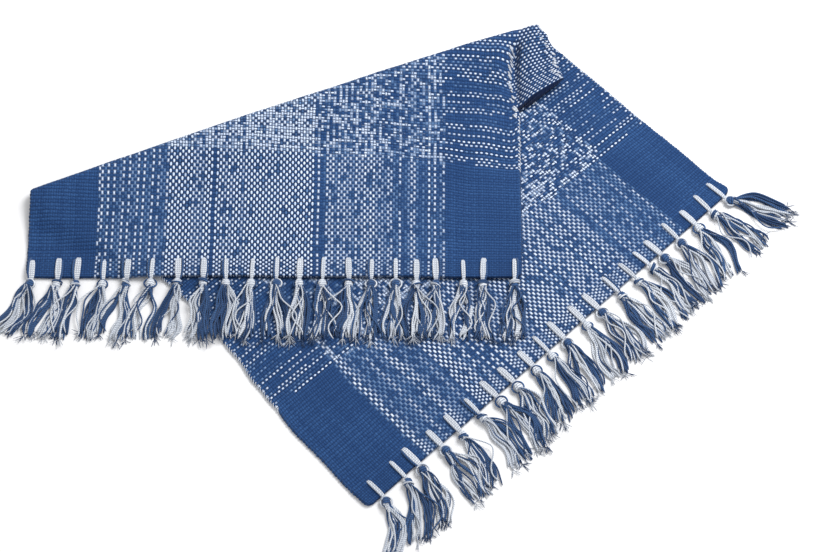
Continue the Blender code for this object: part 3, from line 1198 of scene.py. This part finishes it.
def make_yarn_finish(name, dark, light, groove):
    finish, tree, shader = new_finish(name)
    side, up, along = split(attribute(tree, "twist", "Vector"))
    turn = along * TURNS
    phase = up * maths("COSINE", turn) + side * maths("SINE", turn)
    ply = soft_range(abs(phase), 0.05, 0.75)
    place = add_node(tree, "ShaderNodeTexCoord", {}, "Object")
    inputs = {"Vector": place, "Scale": SPECKLE_SCALE, "Detail": 3.0}
    speckle = add_node(tree, "ShaderNodeTexNoise", inputs, "Fac")
    mixed = attribute(tree, "tone") * 0.65 + speckle * 0.35
    # Painted shade: the ply grooves take the darker groove colour.
    set_inputs(shader, {
        "Base Color": mix_colours(ply, groove, mix_colours(mixed, dark, light)),
        "Roughness": 0.9,
        "Specular IOR Level": 0.2,
        "Sheen Weight": 0.15,
        "Normal": bump(ply + speckle * 0.4, YARN_BUMP_DEPTH, 0.7),
    })
    return finish


# Each finish's third colour is the painted shade in its ply grooves.
natural_finish = make_yarn_finish("natural cotton yarn", (0.42, 0.46, 0.52, 1.0),
                                  (0.77, 0.80, 0.84, 1.0), (0.22, 0.26, 0.35, 1.0))
indigo_finish = make_yarn_finish("indigo cotton yarn", (0.014, 0.042, 0.120, 1.0),
                                 (0.048, 0.120, 0.280, 1.0), (0.008, 0.020, 0.060, 1.0))
NATURAL = 0
DYED = 1


def yarn_object(name, bm):
    bmesh.ops.recalc_face_normals(bm, faces=bm.faces[:])
    return mesh_object(name, bm, natural_finish, indigo_finish)


# %% [markdown]
# Each tassel starts as a few yarns threaded through the hem. They lie on it as a short loop, often a
# white bundle beside an indigo one, run over the edge and are tied in a knot as big as a pea. Below
# the knot the yarns fall into two to four locks, in turn white and indigo. A lock leaves the knot
# to one side and then hangs parallel to the others, and a few stray ends leave it. A tassel on the
# floor is flat, so its yarns lie in two or three layers. What the parts of a tassel share, such as its
# directions and heights, travels in one named tuple.

# %% Sizes of a tassel
TASSEL_LENGTH = 0.079
KNOT_OFFSET = 0.0063
KNOT_FORWARD = 0.0040
KNOT_RADIUS = 0.0050
KNOT_HEIGHT = 0.0050
LOOP_LENGTH = 0.027
YARN_RADIUS = 0.00115
STRAY_YARNS = 2
TASSEL_YARNS = (27, 32)
BRUSH_SHARE = 0.16
BRUSH_FIBRES = (4, 7)
BRUSH_LENGTH = (0.006, 0.013)
BRUSH_FAN = 0.65

LOWER_KNOTS = (0.029, 0.087, 0.125, 0.184, 0.231, 0.284, 0.335, 0.381, 0.433, 0.477, 0.520, 0.575,
               0.617, 0.672, 0.720, 0.761, 0.795, 0.845, 0.895, 0.939, 0.983)
UPPER_KNOTS = (0.012, 0.065, 0.103, 0.157, 0.204, 0.254, 0.308, 0.359, 0.405, 0.456, 0.506, 0.552,
               0.599, 0.652, 0.697, 0.746, 0.788, 0.827, 0.883, 0.921, 0.985)
LOWER_LEAN = ((0.03, -76.0), (0.09, -78.0), (0.16, -62.0), (0.30, -58.0), (0.88, -56.0),
              (0.94, -40.0), (0.985, -18.0))
UPPER_LEAN = ((0.01, -112.0), (0.10, -104.0), (0.30, -97.0), (0.60, -93.0), (1.00, -89.0))

Tassel = namedtuple("Tassel", "edge knot inward direction ahead aside floor hem_top knot_height chance")

# %% [markdown]
# A strand's line is a sum of simple parts: a straight run along the tassel's direction, the bow of the
# whole tassel, a side drift that opens early and then stays, and a slow bend that the lock shares.
# Each strand adds a small drift and bend of its own. The heights are sums too: what the tassel lies
# on, the strand's layer, and the height of the knot, which dies away within the first centimetres.
# Some strands have lost their twist at the tip, and their fibres spread there like a small brush.

# %% Loose strands below the knot
STRAND_SHARE = (0.82, 1.0)
STRAND_SHORTER = 0.006
STRAND_START = 0.004
START_HALF = 0.0046
LOOSE_BEND = 0.0007
LOOSE_PHASE = 0.18
OWN_BEND = 0.0008
OWN_WAVES = 12.0
LAYER_PITCH = 1.7
LOCK_BEND = (0.0016, 0.0040)
LOCK_ROOM = 0.62
STRAY_BEND = 2.2
FIBRE_RADIUS = YARN_RADIUS * 0.40
FIBRE_CURL = 0.002

Lock = namedtuple("Lock", "end loose haste waves bend phase bow")


def strand_line(tassel, lock, layer):
    chance = tassel.chance
    reach = TASSEL_LENGTH * chance.uniform(*STRAND_SHARE) - STRAND_SHORTER
    start = chance.uniform(-1.0, 1.0) * START_HALF
    drift = lock.end + chance.gauss(0.0, 1.0) * lock.loose
    bend = lock.bend + chance.gauss(0.0, LOOSE_BEND)
    phase = lock.phase + chance.gauss(0.0, LOOSE_PHASE)
    own_bend = chance.gauss(0.0, OWN_BEND)
    own_phase = chance.uniform(0.0, 2 * math.pi)
    crown = KNOT_HEIGHT * chance.uniform(0.5, 1.0)

    def line(share):
        opened = 1.0 - (1.0 - share) ** lock.haste
        sway = bend * (math.sin(share * lock.waves + phase) - math.sin(phase))
        own = own_bend * math.sin(share * OWN_WAVES + own_phase)
        side = start * (1.0 - opened) + drift * opened + (sway + own) * min(1.0, share * 3.0)
        side += lock.bow * math.sin(math.pi * share ** 0.8)
        place = tassel.knot + tassel.ahead * (STRAND_START + reach * share) + tassel.aside * side
        height = tassel.floor(place) + YARN_RADIUS
        height += layer * LAYER_PITCH * YARN_RADIUS * (1.0 - 0.4 * share)
        height += crown * max(0.0, 1.0 - share * 3.5) ** 1.5
        return in_frame(place, height)

    return line


def lock_of(end, loose, chance, wild, bow):
    """What the strands of one lock share: where they end, and how they bend on the way."""
    haste = chance.uniform(2.6, 5.0)
    waves = chance.uniform(4.0, 7.5)
    bend = chance.choice((-1.0, 1.0)) * chance.uniform(*LOCK_BEND) * wild
    return Lock(end, loose, haste, waves, bend, chance.uniform(0.0, 2 * math.pi), bow)


def add_brush(bm, tassel, tip, slot):
    chance = tassel.chance
    for _ in range(chance.randint(*BRUSH_FIBRES)):
        out = heading(tassel.direction + chance.gauss(0.0, BRUSH_FAN)) * chance.uniform(*BRUSH_LENGTH)
        curl = tassel.ahead * chance.uniform(-FIBRE_CURL, FIBRE_CURL)

        def line(share, out=out, curl=curl):
            return tip + (out * share + curl * share * share).to_3d()

        add_yarn(bm, fibre, line, FIBRE_RADIUS, slot, chance.uniform(0.4, 1.0))


def add_strands(bm, tassel, spread, count, bow):
    chance = tassel.chance
    number = chance.choice((2, 3, 3, 4))
    colour = DYED if number % 2 else chance.choice((NATURAL, DYED))
    for index in range(number):
        middle = ((index + 0.5) / number * 2.0 - 1.0) * spread
        lock = lock_of(middle, spread * LOCK_ROOM / number, chance, 1.0, bow)
        for _ in range(round(count / number * chance.uniform(0.85, 1.2))):
            slot = colour if chance.random() < 0.90 else 1 - colour
            line = strand_line(tassel, lock, chance.choice((0, 0, 1, 1, 2)))
            radius = YARN_RADIUS * chance.uniform(0.85, 1.15)
            add_yarn(bm, plain_yarn, line, radius, slot, chance.random())
            if chance.random() < BRUSH_SHARE:
                add_brush(bm, tassel, line(1.0), slot)
        colour = 1 - colour
    for _ in range(STRAY_YARNS):
        stray = lock_of(chance.uniform(-1.2, 1.2) * spread, spread * 0.2, chance, STRAY_BEND, bow)
        slot = chance.choice((NATURAL, NATURAL, DYED))
        line = strand_line(tassel, stray, chance.choice((2, 3)))
        add_yarn(bm, plain_yarn, line, YARN_RADIUS * 0.8, slot, chance.random())


# %% [markdown]
# The loop comes out of the weave at its inner end and goes down into the knot at the other. A bundle
# of a few yarns makes its main part, and a single yarn in the other colour may lie beside it.

# %% The loop over the hem
LOOP_RADIUS_SHARE = 1.30
LOOP_PITCH = 2.1
LOOP_SHARE = (0.88, 1.06)
LOOP_LEAN = 0.0018
LOOP_BULGE = (0.0002, 0.0010)
LOOP_SINK = 0.0024


def loop_line(tassel, reach, lean, place_aside):
    aside = Vector((-tassel.inward.y, tassel.inward.x))
    bulge = tassel.chance.uniform(*LOOP_BULGE)

    def line(share):
        gather = (0.55 + 0.45 * smooth(share / 0.25)) * (1.0 - 0.5 * smooth((share - 0.65) / 0.35))
        place = tassel.edge + tassel.inward * (reach * (1.0 - share))
        place = place + aside * (place_aside * gather + lean * (1.0 - share))
        over = tassel.hem_top + YARN_RADIUS * 0.8 + bulge * math.sin(math.pi * share)
        sink = LOOP_SINK * max(0.0, 1.0 - share * 6.0)
        height = over - sink + (tassel.knot_height - over) * smooth((share - 0.72) / 0.28)
        return in_frame(place, height)

    return line


def add_bundle(bm, tassel, slot, yarns, offset):
    chance = tassel.chance
    lean = chance.uniform(-LOOP_LEAN, LOOP_LEAN)
    reach = LOOP_LENGTH * chance.uniform(*LOOP_SHARE) + KNOT_OFFSET
    for index in range(yarns):
        place_aside = offset + (index - (yarns - 1) / 2) * YARN_RADIUS * LOOP_PITCH
        line = loop_line(tassel, reach, lean, place_aside)
        add_yarn(bm, short_yarn, line, YARN_RADIUS * LOOP_RADIUS_SHARE, slot, chance.uniform(0.5, 1.0))


def add_loop(bm, tassel, beside):
    yarns = tassel.chance.choice((2, 3, 3))
    add_bundle(bm, tassel, NATURAL, yarns, 0.0)
    if tassel.chance.random() < beside:
        side = tassel.chance.choice((-1.0, 1.0)) * YARN_RADIUS * LOOP_PITCH * (yarns / 2 + 0.5)
        add_bundle(bm, tassel, DYED, 1, side)


# %% [markdown]
# The knot is a pea of short yarns that bulge. A band in the other colour goes round it, either tight
# round its waist or as a loose ring that lies flat.

# %% The knot
CORE_YARNS = 9
CORE_LENGTH = (0.0115, 0.0135)
CORE_RADIUS = 0.0022
CORE_SWELL = KNOT_RADIUS - 0.0018
BAND_RADIUS = 0.00115
BAND_CLIMB = 0.0022
FLAT_RINGS = 0.6
RING_START = math.pi + 0.5
RING_TURNS = 1.1


def core_line(tassel, angle, length):
    """One of the knot's short yarns, which bulges and turns a little on its way."""
    swell = CORE_SWELL * tassel.chance.uniform(0.9, 1.1)
    turn = tassel.chance.uniform(0.4, 1.1)

    def line(share):
        fat = swell * math.sin(math.pi * min(max(share, 0.03), 0.97)) ** 0.7
        place = tassel.knot + tassel.ahead * (length * (share - 0.45))
        place = place + tassel.aside * math.cos(angle + share * turn) * fat
        return in_frame(place, tassel.knot_height + math.sin(angle + share * turn) * fat * 0.85)

    return line


def waist_line(tassel):
    """A band wound tightly round the knot's waist."""
    chance = tassel.chance
    turns = chance.choice((1.15, 1.3, 2.1))
    tilt = chance.uniform(-0.9, 0.9)
    begin = chance.uniform(0.0, 2 * math.pi)
    across = KNOT_RADIUS * chance.uniform(1.05, 1.20)
    middle = chance.uniform(-0.0035, 0.0020)
    lowest = tassel.knot_height - KNOT_HEIGHT + BAND_RADIUS

    def line(share):
        angle = begin + turns * 2 * math.pi * share
        run = middle + BAND_CLIMB * turns * (share - 0.5) + tilt * across * math.cos(angle) * 0.6
        place = tassel.knot + tassel.ahead * run + tassel.aside * math.cos(angle) * across
        return in_frame(place, max(tassel.knot_height + math.sin(angle) * across * 0.88, lowest))

    return line


def ring_line(tassel):
    """A loose ring that lies flat round the knot."""
    ring = KNOT_RADIUS * tassel.chance.uniform(1.25, 1.55)
    slant = tassel.chance.uniform(-0.0015, 0.0025)

    def line(share):
        angle = RING_START + 2 * math.pi * RING_TURNS * share
        place = tassel.knot + tassel.ahead * ring * math.cos(angle) * 0.9
        place = place + tassel.aside * ring * math.sin(angle)
        return in_frame(place, tassel.knot_height * 0.9 + slant * math.cos(angle) + 0.0012 * share)

    return line


def add_knot(bm, tassel, core):
    chance = tassel.chance
    length = chance.uniform(*CORE_LENGTH)
    for index in range(CORE_YARNS):
        line = core_line(tassel, index / CORE_YARNS * 2 * math.pi, length)
        add_yarn(bm, short_yarn, line, CORE_RADIUS, core, chance.uniform(0.2, 1.0))
    waist = waist_line(tassel)
    ring = ring_line(tassel)
    line = ring if chance.random() < FLAT_RINGS else waist
    add_yarn(bm, band_yarn, line, BAND_RADIUS, 1 - core, chance.uniform(0.3, 1.0))


# %% [markdown]
# All 42 tassels come from one function, each with its own seed, so no two are alike and the rug is the
# same at every run. A tassel replaces its plain solid, and it lies on the same things: the floor, or
# the lower layer of cloth, or half on each where the cloth ends under it.

# %% Make every tassel
CLEARANCE = 0.0003
WIDEST_TIP = 0.0150
LEAN_CHANCE = 7.0


def lower_floor(_place):
    return 0.0


def upper_floor(place):
    return (THICKNESS + CLEARANCE) * lift_over_lower(place)


def lower_hem(_share):
    return full_thickness(0.0)


def upper_hem(share):
    return upper_lift(upper_point(share * WIDTH, HEM_DEPTH / 2)) + full_thickness(0.0)


ENDS = {
    "lower": {
        "knots": LOWER_KNOTS, "lean": LOWER_LEAN,
        "corner": LOWER_CORNER, "across": LOWER_ACROSS, "span": LOWER_SPAN,
        "floor": lower_floor, "hem_top": lower_hem, "bow": (0.003, 0.009), "beside": 0.25,
    },
    "upper": {
        "knots": UPPER_KNOTS, "lean": UPPER_LEAN,
        "corner": UPPER_CORNER, "across": UPPER_ACROSS, "span": UPPER_SPAN,
        "floor": upper_floor, "hem_top": upper_hem, "bow": (-0.002, 0.002), "beside": 0.65,
    },
}


def spread_at(index, points, directions):
    """Half the width of a tassel's tip: it stops where the next tassel's begins."""
    side = heading(directions[index] + math.pi / 2)
    room = WIDEST_TIP * 2
    for other in (index - 1, index + 1):
        if 0 <= other < len(points):
            ends = [points[i] + heading(directions[i]) * TASSEL_LENGTH for i in (index, other)]
            room = min(room, abs((ends[0] - ends[1]).dot(side)))
    return min(room / 2, WIDEST_TIP)


def make_tassel(name, plan, edge, edge_out, direction, spread, hem_top, chance):
    bm = new_yarns()
    count = chance.randint(*TASSEL_YARNS)
    core = chance.choice((NATURAL, DYED))
    ahead = heading(direction)
    knot = edge + ahead * KNOT_FORWARD
    tassel = Tassel(edge, knot, heading(edge_out + math.pi), direction, ahead,
                    heading(direction + math.pi / 2), plan["floor"], hem_top,
                    plan["floor"](knot) + KNOT_HEIGHT, chance)
    add_loop(bm, tassel, plan["beside"])
    add_knot(bm, tassel, core)
    add_strands(bm, tassel, spread, count, chance.uniform(*plan["bow"]))
    return yarn_object(name, bm)


def make_tassels(end):
    plan = ENDS[end]
    across = plan["across"]
    edge_out = math.atan2(across.y, across.x) - math.pi / 2
    points = [plan["corner"] + across * plan["span"] * share + heading(edge_out) * KNOT_OFFSET
              for share in plan["knots"]]
    directions = [math.radians(read_table(plan["lean"], share)) for share in plan["knots"]]
    made = []
    for index, edge in enumerate(points):
        chance = random.Random(f"{end} {index}")
        direction = directions[index] + math.radians(chance.uniform(-LEAN_CHANCE, LEAN_CHANCE))
        tassel = make_tassel(f"{end}_tassel_yarns_{index + 1:02d}", plan, edge, edge_out, direction,
                             spread_at(index, points, directions),
                             plan["hem_top"](plan["knots"][index]), chance)
        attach(tassel, "root")
        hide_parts(f"{end}_tassel_{index + 1:02d}")
        made.append(tassel)
    return made


tassels = [*make_tassels("lower"), *make_tassels("upper")]
print("tassels:", len(tassels), "with", sum(len(item.data.polygons) for item in tassels), "faces")

# %% [markdown]
# The weft turns round the outermost warp at both selvedges, and each turn shows as a small loop. These
# loops give the rug's long edges their beaded line, white where the row is white.

# %% Loops along the selvedges
LOOP_RADIUS = 0.0011
LOOP_REACH = 0.0026
LOOP_HALF = WEFT_PITCH * 0.55
EDGE_STEP = 0.0010
FLAP_ROWS = (0.385, 0.490)
FLAP_FRAY = 0.010


def add_edge_loop(bm, u_edge, inward, v, slot, chance):
    """One turn of the weft, from the first face of the cloth round its edge to the second."""
    middle, half = lay(u_edge, v)
    out = middle - lay(u_edge + inward * EDGE_STEP, v)[0]
    out.z = 0.0
    out.normalize()
    before = lay(u_edge, v + LOOP_HALF)[0] - out * LOOP_REACH
    after = lay(u_edge, v - LOOP_HALF)[0] - out * LOOP_REACH
    depth = half.normalized() * (THICKNESS / 2 - LOOP_RADIUS * 0.5)
    on_flap = inward < 0.0 and FLAP_ROWS[0] < v < FLAP_ROWS[1]
    radius = LOOP_RADIUS * (chance.uniform(1.2, 2.0) if on_flap else 1.0)
    proud = LOOP_REACH + radius * chance.uniform(-0.4, 0.3)
    if on_flap:
        before -= out * chance.uniform(0.0, FLAP_FRAY)
        after -= out * chance.uniform(0.0, FLAP_FRAY)

    def line(share):
        angle = math.pi * share
        turned = depth * math.cos(angle)
        return before.lerp(after, share) + turned + out * proud * math.sin(angle) + SHIFT

    add_yarn(bm, short_yarn, line, radius, NATURAL if on_flap else slot, chance.random())


def make_selvedge(name, u_edge, inward):
    bm = new_yarns()
    chance = random.Random(name)
    column = 0 if u_edge == 0.0 else WARPS - 1
    for row in range(1, WEFTS - 1):
        near = weft_white[row][column] > 0 or (any(weft_white[row]) and chance.random() < 0.5)
        slot = NATURAL if near else DYED
        add_edge_loop(bm, u_edge, inward, (row + 0.5) * WEFT_PITCH, slot, chance)
    selvedge = yarn_object(name, bm)
    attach(selvedge, "root")
    return selvedge


left_selvedge = make_selvedge("left_selvedge_loops", 0.0, 1.0)
right_selvedge = make_selvedge("right_selvedge_loops", WIDTH, -1.0)
print("selvedge faces:", len(left_selvedge.data.polygons) + len(right_selvedge.data.polygons))

# %% [markdown]
# Along the trough a few white wefts come out of the weave and lie slanting on the rim, in clusters of
# two or three. They are short yarns of the same kind, laid from the ridge down into the trough.

# %% White stitches along the trough
STITCH_CLUSTERS = 15
STITCH_RADIUS = 0.0011
STITCH_SINK = 0.0012


def stitch_line(x, y, chance):
    top = Vector((x, y + chance.uniform(0.0010, 0.0025)))
    foot = Vector((x + chance.uniform(0.0030, 0.0050), y - chance.uniform(0.0015, 0.0030)))

    def line(share):
        place = top.lerp(foot, share)
        sink = STITCH_SINK * (1.0 - math.sin(math.pi * share))
        return in_frame(place, upper_lift(place) + THICKNESS + STITCH_RADIUS * 0.6 - sink)

    return line


def make_stitches(name):
    bm = new_yarns()
    chance = random.Random(name)
    first = FLAP_FRONT - 0.006
    last = first + TROUGH_LENGTH - 0.012
    for cluster in range(STITCH_CLUSTERS):
        y = first + (last - first) * (cluster + chance.uniform(0.2, 0.8)) / STITCH_CLUSTERS
        x = trough_x(y) - chance.uniform(0.0045, 0.0085)
        for index in range(chance.choice((1, 2, 2, 3))):
            line = stitch_line(x + index * 0.0008, y - index * 0.0019, chance)
            add_yarn(bm, short_yarn, line, STITCH_RADIUS, NATURAL, chance.uniform(0.3, 1.0))
    stitches = yarn_object(name, bm)
    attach(stitches, "root")
    return stitches


trough_stitches = make_stitches("trough_stitches")
print("stitch faces:", len(trough_stitches.data.polygons))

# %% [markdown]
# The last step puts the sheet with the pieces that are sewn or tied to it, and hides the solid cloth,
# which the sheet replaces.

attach(woven_cloth, "root")
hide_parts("cloth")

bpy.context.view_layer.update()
